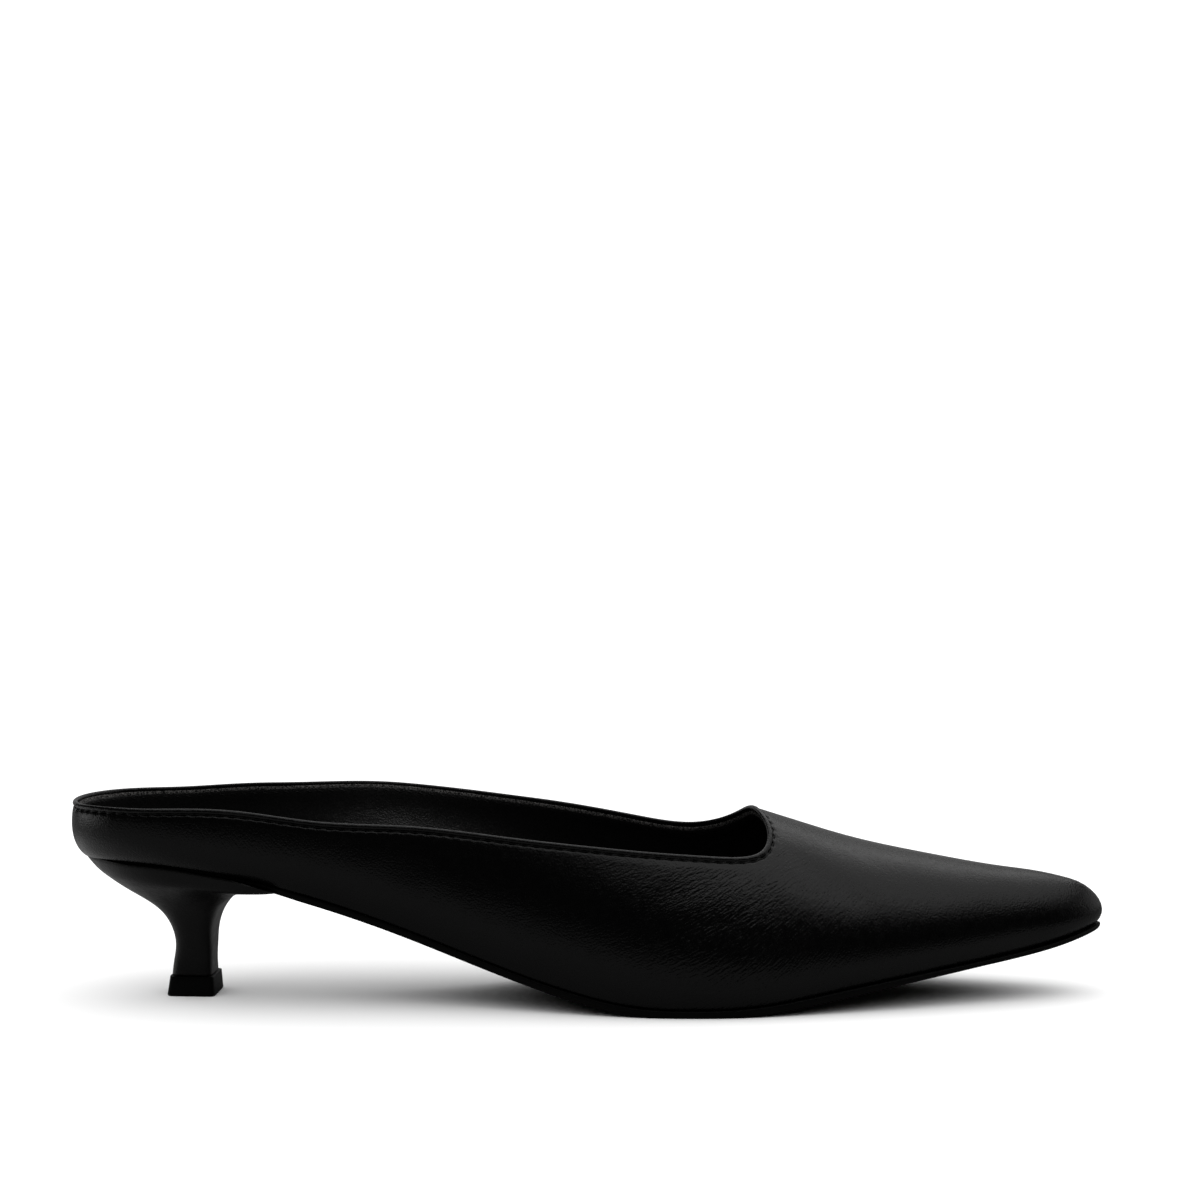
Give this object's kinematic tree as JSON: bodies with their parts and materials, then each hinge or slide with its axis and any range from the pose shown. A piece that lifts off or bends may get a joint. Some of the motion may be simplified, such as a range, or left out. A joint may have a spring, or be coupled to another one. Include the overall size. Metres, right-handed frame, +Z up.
{
  "type": "kitten heel mule",
  "caption": "Pointed-toe slip-on shoe with a squared throat, a low wall round the heel, a thin arched sole and a short waisted heel.",
  "frame": {"origin": "on the floor under the middle of the shoe's box", "axes": "+X towards the toe, +Y towards the inner side of the foot, +Z up"},
  "size_m": [0.2639, 0.0755, 0.052],
  "materials": {
    "upper_leather": "semi-matte black leather with a fine grain",
    "sock_leather": "black leather sock, slightly glossy",
    "sole": "matte black sole",
    "heel_cover": "same leather as the upper, drawn over the heel block",
    "top_piece": "matte black top piece"
  },
  "bodies": {
    "root": {"upper": "upper_leather", "insole": "sock_leather", "outsole": "sole", "heel": "heel_cover", "heel_lift": "top_piece"}
  },
  "joints": []
}
